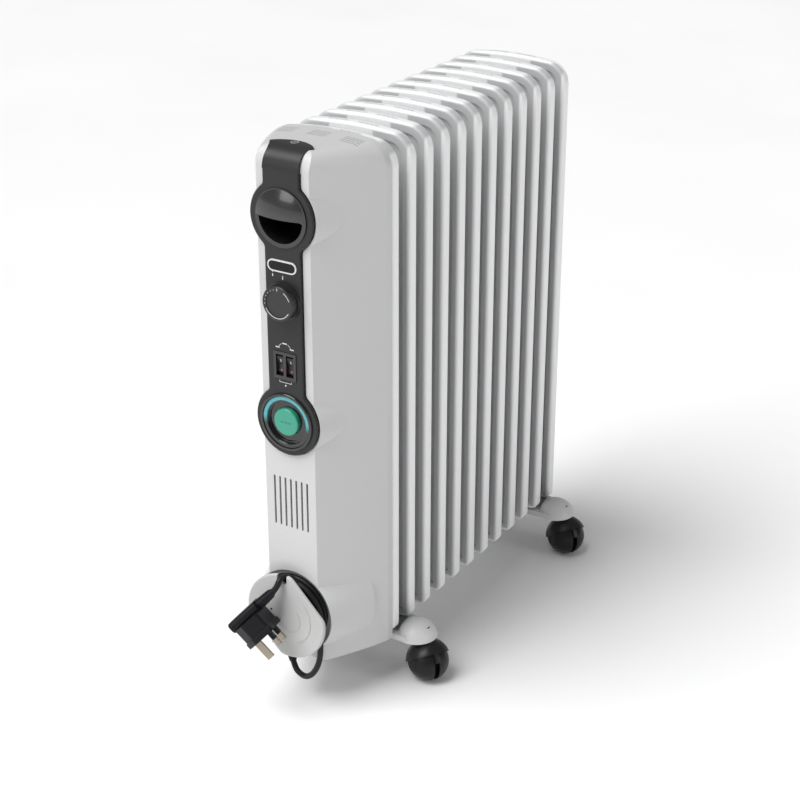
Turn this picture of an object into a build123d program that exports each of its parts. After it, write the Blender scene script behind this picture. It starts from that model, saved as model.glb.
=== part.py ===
"""Oil filled radiator heater: a row of hollow steel fins, a control housing in front, ball casters below."""

from build123d import *
import math
import os

# ---- driving dimensions, in millimetres ----
# fins
fin_count = 12
fin_pitch = 35.0
fin_width = 148.0
fin_height = 584.0
fin_clearance = 60.0
rim_width = 14.0
rim_depth = 10.0
rim_round = 3.5
web_thickness = 9.0
steel_wall = 0.8
crown_radius = 420.0
shoulder_radius = 27.0
fin_corner = 9.0
hub_low = 46.0
hub_high = 70.0
hub_root_radius = 31.0
hub_tip_radius = 23.0
hub_bore = 18.0
slot_length = 26.0
slot_width = 3.0
slot_offset = 18.8
oil_plug_radius = 8.0
oil_plug_head = 22.0
element_radius = 4.0
element_spread = 9.0
element_rise = 6.0
screw_radius = 2.0
cutout_radius = 9.0
cutout_rise = 60.0

# control housing
housing_depth = 88.5
housing_front_width = 65.0
housing_rise = 3.0
housing_drop = 4.0
housing_groove = 2.5
housing_wall = 2.5
side_bulge = 2.6
front_round = 22.0
front_shoulder = 16.0
flare_margin = 2.0
flare_spread = 20.0
flare_depth = 58.0
vent_count = 7
vent_pitch = 7.1
vent_width = 2.4
vent_low = 158.0
vent_length = 60.0
top_vent_count = 4
top_vent_pitch = 4.6
top_vent_length = 22.0
top_vent_width = 1.8
shield_thickness = 1.0

# control panel and what sits in it
panel_width = 44.0
panel_proud = 4.0
panel_seat = 1.5
panel_wall = 3.0
bulge_radius = 39.0
bulge_neck = 8.0
tongue_width = 54.0
tongue_reach = 30.0
tip_proud = 1.4
handle_height = 516.0
cup_radius = 27.0
cup_depth = 44.0
cup_wall = 2.0
cup_flange = 31.5
cover_crown = 5.5
cover_wall = 2.5
badge_height = 464.0
badge_length = 36.0
badge_width = 13.0
knob_height = 426.0
knob_diameter = 38.5
knob_depth = 11.0
knob_skirt = 42.0
spindle_diameter = 6.0
switch_height = 353.0
switch_width = 25.5
switch_length = 28.0
rocker_width = 8.6
rocker_tilt = 8.0
button_height = 288.0
ring_radius = 33.0
light_outer = 30.0
light_inner = 25.0
button_radius = 15.5
button_travel = 2.0
running_gap = 0.05
moving_gap = 0.4

# cord storage and cord
reel_height = 54.0
reel_recess = 8.0
reel_flange_radius = 48.5
reel_flange = 2.0
reel_gap = 20.0
drum_radius = 24.6
disc_radius = 51.5
disc_flat = 41.5
disc_corner = 12.0
disc_thickness = 3.5
disc_notch_left = 10.0
disc_notch_right = 3.0
disc_notch_depth = 10.0
cord_diameter = 6.8
coil_radius = 46.0
relief_length = 27.0
relief_wide = 12.5
pin_pitch = 22.2
plug_length = 39.0
plug_width = 43.0
plug_depth = 37.0
plug_cord_depth = 30.0
plug_grip = 24.0
plug_relief_length = 22.0
plug_ridges = 6

# feet and casters
foot_inset = 17.5
foot_offset = 90.0
foot_radius = 25.0
foot_width = 48.0
foot_thickness = 3.0
foot_crown = 19.0
bar_thickness = 2.0
bar_width = 30.0
bar_depth = 6.0
bolt_diameter = 6.0
ball_radius = 24.0
ball_gap = 0.4
hood_thickness = 1.8
hood_web = 5.0
hood_clearance = 0.8
caster_trail = 8.0
caster_turn = 32.0
stem_offset = 102.0
stem_diameter = 10.0
stem_length = 13.0
axle_radius = 3.0

# ---- places worked out from them ----
reel_proud = reel_gap + reel_flange + disc_thickness - reel_recess
total_length = reel_proud + housing_depth + housing_groove + rim_width + (fin_count - 1) * fin_pitch
rear_y = total_length / 2
last_fin_y = rear_y - rim_width / 2
first_fin_y = last_fin_y - (fin_count - 1) * fin_pitch
housing_back = first_fin_y - rim_width / 2 - housing_groove
housing_front = housing_back - housing_depth
panel_front = housing_front - panel_proud
fin_top = fin_clearance + fin_height
housing_low = fin_clearance - housing_drop
housing_top = fin_top + housing_rise
half_width = fin_width / 2


def at_height(value):
    return fin_clearance + value


def fin_y(index):
    return first_fin_y + index * fin_pitch


screw_places = [(x, at_height(z)) for x in (-50, 50) for z in (130, 480)]
bolt_reach = hub_tip_radius + 3.5 + bolt_diameter / 2
foot_low = 2 * ball_radius + hood_thickness + ball_gap + hood_clearance

# ---- the cord's route and the plug's place ----
gland_exit = (-19.0, housing_front + 14, housing_low)
gland_lean = Vector(0.42, -0.2, -0.885).normalized()
loop_points = [
    (-0.5, -8.5, -32.0),
    (10.5, -11.5, -33.0),
    (21.5, -14.0, -25.5),
    (30.0, -15.5, -12.5),
    (35.5, -17.0, 3.0),
    (37.5, -18.0, 20.0),
    (36.5, -18.5, 36.0),
]
lead_points = [
    (18.0, -18.5, 86.5),
    (8.0, -19.5, 96.0),
    (-2.0, -23.5, 102.0),
    (-4.0, -34.0, 102.5),
]
plug_cord_way = Vector(0.561, 0.453, 0.693).normalized()
plug_pin_lean = Vector(0.7405, 0.0999, -0.6645)
plug_pin_way = (plug_pin_lean - plug_cord_way * plug_pin_lean.dot(plug_cord_way)).normalized()
plug_relief_end = Vector(-8.0, housing_front - 29, at_height(89.0))
plug_root = plug_relief_end - plug_cord_way * (plug_length / 2 + plug_relief_length)
plug_plane = Plane(plug_root + plug_pin_way * plug_cord_depth, x_dir=plug_pin_way, z_dir=plug_cord_way)


def crowned_outline(half, low, high, crown, shoulder, corner):
    """A flat outline with a crowned top, round shoulders and small lower corners."""
    edge = high - (crown - math.sqrt(crown**2 - half**2))
    sides = [
        Line((-half, low), (half, low)),
        Line((half, low), (half, edge)),
        ThreePointArc((half, edge), (0, high), (-half, edge)),
        Line((-half, edge), (-half, low)),
    ]
    face = make_face(Curve() + sides)
    face = fillet(face.vertices().sort_by(Axis.Y)[2:], shoulder)
    if corner:
        face = fillet(face.vertices().sort_by(Axis.Y)[:2], corner)
    return face


def slab(outline, back, front):
    """An XZ outline given thickness from the plane y = back to the plane y = front."""
    return extrude(Plane.XZ.offset(-back) * outline, amount=back - front)


def rod(radius, place, back, front):
    """A cylinder along Y at place = (x, z)."""
    return slab(Pos(place[0], place[1]) * Circle(radius), back, front)


def box(low, high):
    size = [b - a for a, b in zip(low, high)]
    middle = [(a + b) / 2 for a, b in zip(low, high)]
    return Pos(*middle) * Box(*size)


# ---- fins ----
def fin_outline(inset):
    return crowned_outline(
        half_width - inset,
        fin_clearance + inset,
        fin_top - inset,
        crown_radius - inset,
        max(shoulder_radius - inset, 2.0),
        max(fin_corner - inset, 1.0),
    )


def fin(index):
    """Two pressed sheets welded at the rim, with an oil chamber and hub bosses to the fins beside it."""
    half_rim = rim_width / 2
    half_web = web_thickness / 2
    body = slab(fin_outline(0), half_rim, -half_rim)
    rim_edges = body.edges().filter_by(Plane.XZ)
    body = fillet(rim_edges, rim_round)
    pocket = fin_outline(rim_depth)
    body -= slab(pocket, half_rim + 1, half_web)
    body -= slab(pocket, -half_web, -half_rim - 1)
    heights = [fin_clearance + hub_low, fin_top - hub_high]
    boss_length = fin_pitch / 2 - half_web
    first = index == 0
    last = index == fin_count - 1
    for height in heights:
        for side in (-1, 1):
            closed = (first and side < 0) or (last and side > 0)
            if closed:
                continue
            boss = Cone(hub_root_radius, hub_tip_radius, boss_length)
            tilt = Rot(-90 * side, 0, 0)
            middle = side * (half_web + boss_length / 2)
            body += Pos(0, middle, height) * tilt * boss
    chamber = slab(fin_outline(rim_depth + 3), half_web - steel_wall, -half_web + steel_wall)
    body -= chamber
    channel = fin_outline(steel_wall + 0.6) - fin_outline(rim_depth - steel_wall)
    body -= slab(channel, half_rim - steel_wall - 0.6, -half_rim + steel_wall + 0.6)
    for height in heights:
        reach_back = half_web - steel_wall if last else fin_pitch / 2
        reach_front = half_web - steel_wall if first else fin_pitch / 2
        body -= rod(hub_bore, (0, height), reach_back, -reach_front)
    if first:
        body -= rod(hub_bore, (0, heights[0]), half_rim, -half_rim)
    if last:
        body -= rod(oil_plug_radius, (0, heights[1]), half_rim, 0)
    for side in (-1, 1):
        slot = SlotOverall(slot_length, slot_width)
        place = Pos(side * slot_offset, 0, fin_top + 1)
        body -= extrude(place * slot, amount=-(steel_wall + 3))
    return Pos(0, fin_y(index), 0) * body


def oil_plug():
    """The sealing plug in the last fin's upper hub, its head flush inside the rim."""
    height = fin_top - hub_high
    web_back = last_fin_y + web_thickness / 2
    shank = rod(oil_plug_radius, (0, height), web_back, web_back - steel_wall)
    head = slab(Pos(0, height) * RegularPolygon(oil_plug_head / 2, 6), web_back + 2.2, web_back)
    return shank + head


# ---- heating element in the lower hub ----
def element_flange():
    web_front = first_fin_y - web_thickness / 2
    height = fin_clearance + hub_low
    plate = rod(hub_root_radius, (0, height), web_front, web_front - 2.0)
    collar = rod(hub_bore - 0.2, (0, height), web_front + 4, web_front)
    body = plate + collar
    for x, z in element_places():
        body -= rod(element_radius, (x, height + z), web_front + 5, web_front - 3)
    return body


def element_places():
    return [(x, z) for x in (-element_spread, element_spread) for z in (-element_rise, element_rise)]


def heating_elements():
    """Two hairpin tubes that run back through the lower hubs."""
    height = fin_clearance + hub_low
    web_front = first_fin_y - web_thickness / 2
    start = web_front - 10
    bend = fin_y(fin_count - 2)
    side = element_spread
    pieces = []
    for row in (-element_rise, element_rise):
        z = height + row
        legs = [
            Line((-side, start, z), (-side, bend, z)),
            ThreePointArc((-side, bend, z), (0, bend + side, z), (side, bend, z)),
            Line((side, bend, z), (side, start, z)),
        ]
        tube_end = Plane((-side, start, z), z_dir=(0, 1, 0)) * Circle(element_radius)
        pieces.append(sweep(tube_end, path=Wire(legs)))
    return Compound(pieces)


# ---- control housing ----
def section(y, half, inset, shoulder):
    outline = crowned_outline(
        half - inset,
        housing_low + inset,
        housing_top - inset,
        crown_radius - inset,
        max(shoulder - inset, 2.0),
        0,
    )
    return Plane.XZ.offset(-y) * outline


def housing_body(inset):
    """The flared body: narrow in front, as wide as the fins behind."""
    front_half = housing_front_width / 2
    front = housing_front + inset
    back = housing_back + (1 if inset else 0)
    straight = housing_back - 9
    middle = (housing_front + straight) / 2
    middle_half = (front_half + half_width) / 2 + side_bulge
    sections = [
        section(front, front_half, inset, front_shoulder),
        section(middle, middle_half, inset, (front_shoulder + shoulder_radius) / 2),
        section(straight, half_width, inset, shoulder_radius),
    ]
    body = loft(sections)
    rear = crowned_outline(
        half_width - inset,
        housing_low + inset,
        housing_top - inset,
        crown_radius - inset,
        shoulder_radius - inset,
        0,
    )
    body += slab(rear, back, straight)
    for radius, height in (
        (bulge_radius + flare_margin, handle_height),
        (bulge_radius + flare_margin, button_height),
        (reel_flange_radius + flare_margin, reel_height),
    ):
        flare = Cone(radius + flare_spread - inset, radius - inset, flare_depth)
        middle_y = housing_front + flare_depth / 2 + inset
        body += Pos(0, middle_y, at_height(height)) * Rot(90, 0, 0) * flare
    return body & side_profile(inset)


def side_profile(inset):
    """Rounds the top and bottom of the front and trims the flares."""
    front = housing_front + inset
    back = housing_back + (1 if inset else 0)
    low = housing_low + inset
    high = housing_top + 1 - inset
    profile = make_face(Polyline((front, low), (back, low), (back, high), (front, high), close=True))
    ends = profile.vertices().group_by(Axis.X)[0].sort_by(Axis.Y)
    profile = fillet(ends[1:], front_round)
    ends = profile.vertices().group_by(Axis.X)[0].sort_by(Axis.Y)
    profile = fillet(ends[:1], front_shoulder / 2)
    return extrude(Plane.YZ * profile, amount=fin_width, both=True)


def control_housing():
    body = housing_shell_outer - housing_shell_inner
    seat = slab(panel_outline(1.0), housing_front + panel_seat, housing_front - 10)
    body -= seat
    body -= panel_solid
    for radius, height in (
        (cup_radius + cup_wall, handle_height),
        (spindle_diameter + 4, knob_height),
        (light_outer + 1, button_height),
    ):
        body -= rod(radius, (0, at_height(height)), housing_front + 12, housing_front - 10)
    half = switch_width / 2
    tall = switch_length / 2
    middle = at_height(switch_height)
    body -= box((-half, housing_front - 10, middle - tall), (half, housing_front + 12, middle + tall))
    for step in range(vent_count):
        x = (step - (vent_count - 1) / 2) * vent_pitch
        place = Pos(x, at_height(vent_low) + vent_length / 2) * Rot(0, 0, 90)
        slot = place * SlotOverall(vent_length, vent_width)
        body -= slab(slot, housing_front + 6, housing_front - 1)
    for x in (-40.0, 0.0, 40.0):
        for step in range(top_vent_count):
            y = housing_back - 14 - step * top_vent_pitch
            slot = Pos(x, y, housing_top + 1) * SlotOverall(top_vent_length, top_vent_width)
            body -= extrude(slot, amount=-14)
    centre = (0, at_height(reel_height))
    floor = housing_front + reel_recess
    recess = rod(reel_flange_radius + 0.8, centre, floor, housing_front - 1)
    pan = rod(reel_flange_radius + 3, centre, floor + 2, housing_front)
    body += pan & housing_shell_outer
    body -= recess
    return body - cord_gland()


def heat_shield():
    """The steel plate that closes the back of the housing."""
    outline = crowned_outline(
        half_width - housing_wall - 0.3,
        housing_low + housing_wall + 0.3,
        housing_top - housing_wall - 0.3,
        crown_radius,
        shoulder_radius - housing_wall,
        0,
    )
    plate = slab(outline, housing_back - 1, housing_back - 1 - shield_thickness)
    holes = [(hub_root_radius + 2, (0, at_height(hub_low)))]
    holes += [(cutout_radius + 2, (0, at_height(hub_low + cutout_rise)))]
    holes += [(screw_radius, place) for place in screw_places]
    for radius, place in holes:
        plate -= rod(radius, place, housing_back, housing_back - 5)
    return plate


# ---- control panel ----
def panel_outline(grow):
    """The strip with its two round bulges, seen from the front."""
    half = panel_width / 2 + grow
    round_one = bulge_radius + grow
    neck = bulge_neck - grow
    rise = math.sqrt((round_one + neck) ** 2 - (half + neck) ** 2)
    share = round_one / (round_one + neck)
    low = at_height(button_height)
    high = at_height(handle_height)
    top = housing_top - front_round

    def touch(height, way):
        return (share * (half + neck), height + way * share * rise)

    def neck_arc(height, way, upwards):
        centre = Vector(half + neck, height + way * rise)
        ends = [touch(height, way), (half, height + way * rise)]
        lean = sum(((Vector(*end) - centre).normalized() for end in ends), Vector())
        middle = centre + lean.normalized() * neck
        ends = ends if upwards else ends[::-1]
        return ThreePointArc(ends[0], (middle.X, middle.Y), ends[1])

    right = [
        ThreePointArc((0, low - round_one), (round_one, low), touch(low, 1)),
        neck_arc(low, 1, True),
        Line((half, low + rise), (half, high - rise)),
        neck_arc(high, -1, False),
        ThreePointArc(touch(high, -1), (round_one, high), touch(high, 1)),
        neck_arc(high, 1, True),
        Line((half, high + rise), (half, top)),
        Line((half, top), (0, top)),
    ]
    left = [mirror(edge, Plane.YZ) for edge in right]
    return make_face(Curve() + right + left)


def tongue_band(outer, inner):
    """The side profile of the part of the panel that bends over the top edge."""
    centre = (housing_front + front_round, housing_top - front_round)
    low = housing_top - front_round - 0.01
    end = housing_front + front_round + tongue_reach
    big = front_round + outer
    tall = front_round + tip_proud
    small = front_round - inner
    half = math.sqrt(0.5)
    sides = [
        Line((centre[0] - big, low), (centre[0] - big, centre[1])),
        EllipticalCenterArc(centre, big, tall, start_angle=90, arc_size=90),
        Line((centre[0], centre[1] + tall), (end, centre[1] + tall)),
        Line((end, centre[1] + tall), (end, centre[1] + small)),
        Line((end, centre[1] + small), (centre[0], centre[1] + small)),
        ThreePointArc(
            (centre[0], centre[1] + small),
            (centre[0] - small * half, centre[1] + small * half),
            (centre[0] - small, centre[1]),
        ),
        Line((centre[0] - small, centre[1]), (centre[0] - small, low)),
        Line((centre[0] - small, low), (centre[0] - big, low)),
    ]
    return extrude(Plane.YZ * make_face(Curve() + sides), amount=half_width, both=True)


def tongue_plan():
    """The flared tongue seen from above, its end a round arc."""
    front = housing_front - panel_proud - 1
    tip = housing_front + tongue_reach
    corner = tip - 12
    narrow = panel_width / 2
    wide = tongue_width / 2
    flare_start = housing_front + 3
    half = (flare_start + corner) / 2
    sides = [
        Line((-narrow, front), (narrow, front)),
        Line((narrow, front), (narrow, flare_start)),
        ThreePointArc((narrow, flare_start), (narrow + 1.2, half), (wide, corner)),
        ThreePointArc((wide, corner), (0, tip), (-wide, corner)),
        ThreePointArc((-wide, corner), (-narrow - 1.2, half), (-narrow, flare_start)),
        Line((-narrow, flare_start), (-narrow, front)),
    ]
    low = housing_top - front_round - 1
    return extrude(Pos(0, 0, low) * make_face(Curve() + sides), amount=front_round + panel_proud + 10)


def raw_panel():
    front = slab(panel_outline(0), housing_front + panel_seat, panel_front)
    rims = front.edges().filter_by(Plane.XZ).group_by(Axis.Y)[0]
    rims = rims.filter_by(lambda edge: edge.center().Z < housing_top - front_round - 0.01)
    front = chamfer(rims, 0.8)
    tongue = tongue_band(panel_proud, panel_seat) & tongue_plan()
    return front + tongue


def control_panel():
    body = panel_solid
    for radius, height in (
        (cup_radius + cup_wall, handle_height),
        (spindle_diameter, knob_height),
        (light_outer + 1, button_height),
    ):
        body -= rod(radius, (0, at_height(height)), housing_front + 12, housing_front - 12)
    middle = at_height(switch_height)
    half = switch_width / 2
    tall = switch_length / 2
    body -= box((-half, panel_front - 2, middle - tall), (half, housing_front + 12, middle + tall))
    return body


def handle_cup():
    """The round finger recess behind the panel."""
    height = at_height(handle_height)
    body = rod(cup_radius + cup_wall, (0, height), housing_front + cup_depth, panel_front)
    body += rod(cup_flange, (0, height), panel_front, panel_front - 1.5)
    inside = rod(cup_radius, (0, height), housing_front + cup_depth - cup_wall, panel_front - 3)
    floor_edge = inside.edges().filter_by(GeomType.CIRCLE).sort_by(Axis.Y)[-1]
    return body - fillet(floor_edge, 8)


def handle_cover():
    """A domed half disc over the upper half of the recess, which the fingers reach behind."""
    height = at_height(handle_height)
    back = panel_front - 1.5
    radius = cup_flange - 1
    sphere = (radius**2 + cover_crown**2) / (2 * cover_crown)
    dome = Pos(0, back - cover_crown + sphere, height) * Sphere(sphere)
    hollow = Pos(0, back - cover_crown + sphere + cover_wall, height) * Sphere(sphere)
    body = rod(radius, (0, height), back, back - 20) & dome
    inside = rod(cup_radius, (0, height), back + 1, back - 20) & hollow
    body -= inside
    body -= box((-60, back - 20, height - 60), (60, back + 5, height))
    return body


def badge():
    """A blank pill, with a raised border."""
    outline = Pos(0, at_height(badge_height)) * SlotOverall(badge_length, badge_width)
    field = Pos(0, at_height(badge_height)) * SlotOverall(badge_length - 3, badge_width - 3)
    return slab(outline, panel_front, panel_front - 1.4) - slab(field, panel_front - 1.0, panel_front - 2)


def thermostat_body():
    """The thermostat behind the panel, with the bush that its spindle turns in."""
    height = at_height(knob_height)
    back = housing_front + 6
    case = box((-17, back, height - 15), (17, back + 26, height + 15))
    bush = rod(spindle_diameter / 2 + 3, (0, height), back, housing_front - 2)
    bore = rod(spindle_diameter / 2 + running_gap, (0, height), back + 12, housing_front - 3)
    return case + bush - bore


def thermostat_spindle():
    height = at_height(knob_height)
    return rod(spindle_diameter / 2, (0, height), housing_front + 17, panel_front - 8)


def thermostat_knob():
    """A turned knob: thin skirt, straight grip and a slightly dished face."""
    height = at_height(knob_height)
    back = panel_front - moving_gap
    face = panel_front - knob_depth
    skirt = rod(knob_skirt / 2, (0, height), back, back - 2)
    grip = rod(knob_diameter / 2, (0, height), back, face)
    rim = grip.edges().filter_by(GeomType.CIRCLE).sort_by(Axis.Y)[0]
    grip = fillet(rim, 1.5)
    knob = skirt + grip
    for step in range(36):
        groove = rod(0.7, (knob_diameter / 2 + 0.25, 0), back - 2, face + 2)
        knob -= Pos(0, 0, height) * Rot(0, step * 10, 0) * groove
    knob -= rod(knob_diameter / 2 - 5, (0, height), face + 0.6, face - 1)
    socket = rod(spindle_diameter / 2, (0, height), back + 1, panel_front - 8)
    return knob - socket


# ---- switches ----
def switch_bezel():
    """The frame and case that hold both rockers."""
    middle = at_height(switch_height)
    half = switch_width / 2
    tall = switch_length / 2
    low = (-half - 1.5, panel_front - 1, middle - tall - 1.5)
    high = (half + 1.5, panel_front, middle + tall + 1.5)
    flange = box(low, high)
    case = box((-half, panel_front, middle - tall), (half, housing_front + 24, middle + tall))
    body = flange + case
    for x in rocker_places():
        wide = rocker_width / 2 + moving_gap
        long = switch_length / 2 - 2
        body -= box((x - wide, panel_front - 2, middle - long), (x + wide, housing_front + 16, middle + long))
    return body


def rocker_places():
    return (-switch_width / 4, switch_width / 4)


def rocker(x):
    """One rocker, resting in its off position: the lower end out, the upper end in."""
    middle = at_height(switch_height)
    pivot_y = housing_front + 4
    long = switch_length / 2 - 3.6
    out = 6.0
    face = pivot_y - out
    upper = [(pivot_y + 3, 3), (face, long), (face - 0.6, long - 2), (face + 0.9, 0)]
    lower = [(y, -z) for y, z in upper[2::-1]]
    profile = make_face(Polyline(*upper, *lower, close=True))
    body = extrude(Plane.YZ.offset(x) * profile, amount=rocker_width / 2, both=True)
    body = Pos(0, 0, middle) * body
    turn = Pos(0, pivot_y, middle) * Rot(rocker_tilt, 0, 0) * Pos(0, -pivot_y, -middle)
    return turn * body


# ---- round button with its light ring ----
def comfort_bezel():
    """The glossy dish round the button."""
    height = at_height(button_height)
    outer = rod(ring_radius, (0, height), panel_front, panel_front - 2.4)
    outer += rod(light_outer + 1, (0, height), housing_front + 14, panel_front)
    rim = outer.edges().filter_by(GeomType.CIRCLE).sort_by(Axis.Y)[0]
    outer = fillet(rim, 1.2)
    dish = rod(light_inner - 2, (0, height), panel_front + 3, panel_front - 5)
    channel = rod(light_outer, (0, height), panel_front + 1.5, panel_front - 5)
    well = rod(button_radius + moving_gap, (0, height), housing_front + 20, panel_front)
    hollow = rod(light_outer - 3, (0, height), housing_front + 20, panel_front + 6)
    return outer - dish - channel - well - hollow


def light_ring():
    """The translucent arc that lights up over the button."""
    height = at_height(button_height)
    ring = rod(light_outer - 0.1, (0, height), panel_front + 1.5, panel_front - 1.4)
    ring -= rod(light_inner, (0, height), panel_front + 2, panel_front - 3)
    edges = ring.edges().filter_by(GeomType.CIRCLE).group_by(Axis.Y)[0]
    return fillet(edges, 1.0)


def comfort_button():
    """The round push button with its stem."""
    height = at_height(button_height)
    cap = rod(button_radius, (0, height), panel_front + 5, panel_front - 2.2)
    rim = cap.edges().filter_by(GeomType.CIRCLE).sort_by(Axis.Y)[0]
    cap = fillet(rim, 1.6)
    stem = rod(3.0, (0, height), housing_front + 12, panel_front + 5)
    return cap + stem


def comfort_switch():
    """The micro switch that the button's stem presses."""
    height = at_height(button_height)
    start = housing_front + 12 + button_travel + 0.3
    return box((-12, start, height - 8), (12, start + 16, height + 8))


# ---- pieces inside the housing ----
def overheat_cutout():
    """The thermal cut-out, on a stud plate in front of the first fin."""
    web_front = first_fin_y - web_thickness / 2
    height = fin_clearance + hub_low + cutout_rise
    base = rod(cutout_radius, (0, height), web_front, web_front - 10)
    for x in (-5, 5):
        base += box((x - 3, web_front - 16, height - 0.5), (x + 3, web_front - 10, height + 0.5))
    return base


def terminal_block():
    height = at_height(reel_height) + 80
    back = housing_back - 1 - shield_thickness
    block = box((-24, back - 14, height - 9), (24, back, height + 9))
    for step in range(5):
        x = (step - 2) * 9.0
        block -= rod(2.4, (x, height), back - 5, back - 15)
    return block


# ---- cord storage ----
def reel_base():
    """The flange and drum that the cord is wound on."""
    height = at_height(reel_height)
    back = housing_front + reel_recess
    flange = rod(reel_flange_radius, (0, height), back, back - reel_flange)
    drum = rod(drum_radius, (0, height), back - reel_flange, back - reel_flange - reel_gap)
    hollow = rod(drum_radius - 2.5, (0, height), back - reel_flange, back - reel_flange - reel_gap)
    boss = rod(6, (0, height), back - reel_flange, back - reel_flange - reel_gap)
    return flange + drum - hollow + boss


def disc_outline():
    """A disc with two parallel flats at 45 degrees, which leave the wound cord in reach."""
    face = Circle(disc_radius) & Rot(0, 0, -45) * Rectangle(3 * disc_radius, 2 * disc_flat)
    return Pos(0, at_height(reel_height)) * fillet(face.vertices(), disc_corner)


def reel_disc():
    """The front flange of the cord storage, with a notch at its top for the plug's lead."""
    height = at_height(reel_height)
    back = housing_front + reel_recess - reel_flange - reel_gap
    body = slab(disc_outline(), back, back - disc_thickness)
    rim = body.edges().group_by(Axis.Y)[0]
    body = fillet(rim, 1.8)
    top = height + disc_radius
    low = (-disc_notch_left, back - disc_thickness - 1, top - disc_notch_depth)
    high = (disc_notch_right, back + 1, top + 5)
    return body - box(low, high)


def housing_screws():
    """The screws that hold the housing's rear edge to the first fin's web, heads in front of the shield."""
    face = housing_back - 1 - shield_thickness
    group = []
    for place in screw_places:
        head = rod(2 * screw_radius, place, face, face - 3)
        shank = rod(screw_radius, place, first_fin_y - web_thickness / 2, face)
        group.append(head + shank)
    return group


# ---- cord, plug and strain relief ----
def place_on_cord(point):
    """Cord points are given from the housing's front bottom edge, 13 behind its face."""
    return Vector(point[0], gland_exit[1] + point[1], fin_clearance + point[2])


def turn_radii(points):
    """An arc for each corner, as large as the two runs beside it allow."""
    radii = []
    for before, here, after in zip(points, points[1:], points[2:]):
        turn = math.radians((here - before).get_angle(after - here))
        shorter = min((here - before).length, (after - here).length)
        radii.append(0.45 * shorter / math.tan(turn / 2))
    return radii


def tube(points, name):
    radii = turn_radii(points)
    path = FilletPolyline(*points, radius=radii)
    section_circle = Plane(path @ 0, z_dir=path % 0) * Circle(cord_diameter / 2)
    body = sweep(section_circle, path=path)
    expected = math.pi * cord_diameter**2 / 4 * path.length
    print(name, "radii", [round(r, 1) for r in radii], "length", round(path.length, 1))
    print(name, "volume", round(body.volume), "section x length", round(expected))
    return body


def cord_gland():
    """The tapered strain relief under the housing."""
    start = Vector(*gland_exit)
    inside = start - gland_lean * 7
    flange = Plane(inside, z_dir=gland_lean) * Cylinder(relief_wide / 2 + 2, 3)
    taper = Cone(relief_wide / 2 - 0.2, cord_diameter / 2 + 0.9, relief_length)
    body = Plane(inside + gland_lean * relief_length / 2, z_dir=gland_lean) * taper
    return body + flange


def loop_route():
    start = Vector(*gland_exit) + gland_lean * (relief_length - 7)
    return [start, start + gland_lean * 8] + [place_on_cord(p) for p in loop_points]


def lead_route():
    return [place_on_cord(p) for p in lead_points] + [plug_relief_end + plug_cord_way * 6, plug_relief_end]


def cord_coil():
    """The outer shape of the wound turns on the drum."""
    height = at_height(reel_height)
    back = housing_front + reel_recess - reel_flange - 0.6
    front = back - reel_gap + 1.2
    ring = rod(coil_radius, (0, height), back, front) - rod(drum_radius + 0.2, (0, height), back, front)
    return ring


def plug_face(inset):
    """The plug's outline, seen along its pins, narrower at the earth pin's end."""
    wide = plug_width / 2 - inset
    high = plug_length / 2 - inset
    right = [(wide, high), (wide, -high / 3), (wide / 2, -high)]
    left = [(-x, z) for x, z in reversed(right)]
    face = make_face(Polyline(*right, *left, close=True))
    return fillet(face.vertices(), 3)


def plug_layer(inset, start, end):
    """A slab of that outline, between two depths behind the pin face."""
    plane = Plane((start, 0, 0), x_dir=(0, 1, 0), z_dir=(1, 0, 0))
    return extrude(plane * plug_face(inset), amount=end - start)


def plug_body():
    """The moulded plug: a pin plate, a waist, a grip along its back and a ridged strain relief."""
    plate = plug_layer(0, -7, 0)
    edge = plate.edges().group_by(Axis.X)[0]
    plate = fillet(edge, 1.5)
    waist = plug_layer(1.4, -plug_cord_depth + 4, -6)
    half = plug_length / 2
    grip = box((-plug_depth, -plug_grip / 2, -half - 1), (-plug_depth + 13, plug_grip / 2, half))
    grip = fillet(grip.edges().filter_by(Axis.Z), 5)
    grip = fillet(grip.edges().group_by(Axis.Z)[0], 2)
    place = Pos(-plug_cord_depth, 0, half + plug_relief_length / 2)
    relief = place * Cone(5.4, 4.3, plug_relief_length)
    ridges = []
    for step in range(plug_ridges):
        size = 6.4 - 0.2 * step
        ridges.append(Pos(-plug_cord_depth, 0, half + 1.5 + 3.4 * step) * Cylinder(size, 2.0))
    body = plate + waist + grip + relief
    for ridge in ridges:
        body += ridge
    return plug_plane * body


def plug_pins():
    """Two flat live pins and the longer earth pin."""
    live = [
        box((0, side * pin_pitch / 2 - 3.2, 9), (17.7, side * pin_pitch / 2 + 3.2, 13)) for side in (-1, 1)
    ]
    earth = box((0, -2, 11 - pin_pitch - 4), (22.7, 2, 11 - pin_pitch + 4))
    return [plug_plane * pin for pin in (*live, earth)]


# ---- feet ----
def foot_y(end):
    return fin_y(0) + foot_inset if end < 0 else fin_y(fin_count - 1) - foot_inset


def foot_bar(end):
    """A shallow steel channel under two fins, with holes for its U-bolt."""
    y = foot_y(end)
    top = fin_clearance
    reach = foot_offset - 6
    outer = box((-reach, y - bar_width / 2, top - bar_depth), (reach, y + bar_width / 2, top))
    inner = box(
        (-reach - 1, y - bar_width / 2 + bar_thickness, top - bar_depth - 1),
        (reach + 1, y + bar_width / 2 - bar_thickness, top - bar_thickness),
    )
    body = outer - inner
    ends = box((half_width + 1.5, y - 30, top - 1), (reach + 1, y + 30, top + 1))
    body -= ends + mirror(ends, Plane.YZ)
    for side in (-1, 1):
        hole = Pos(side * bolt_reach, y, top) * Cylinder(bolt_diameter / 2 + 0.3, 20)
        body -= hole
    return body


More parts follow.
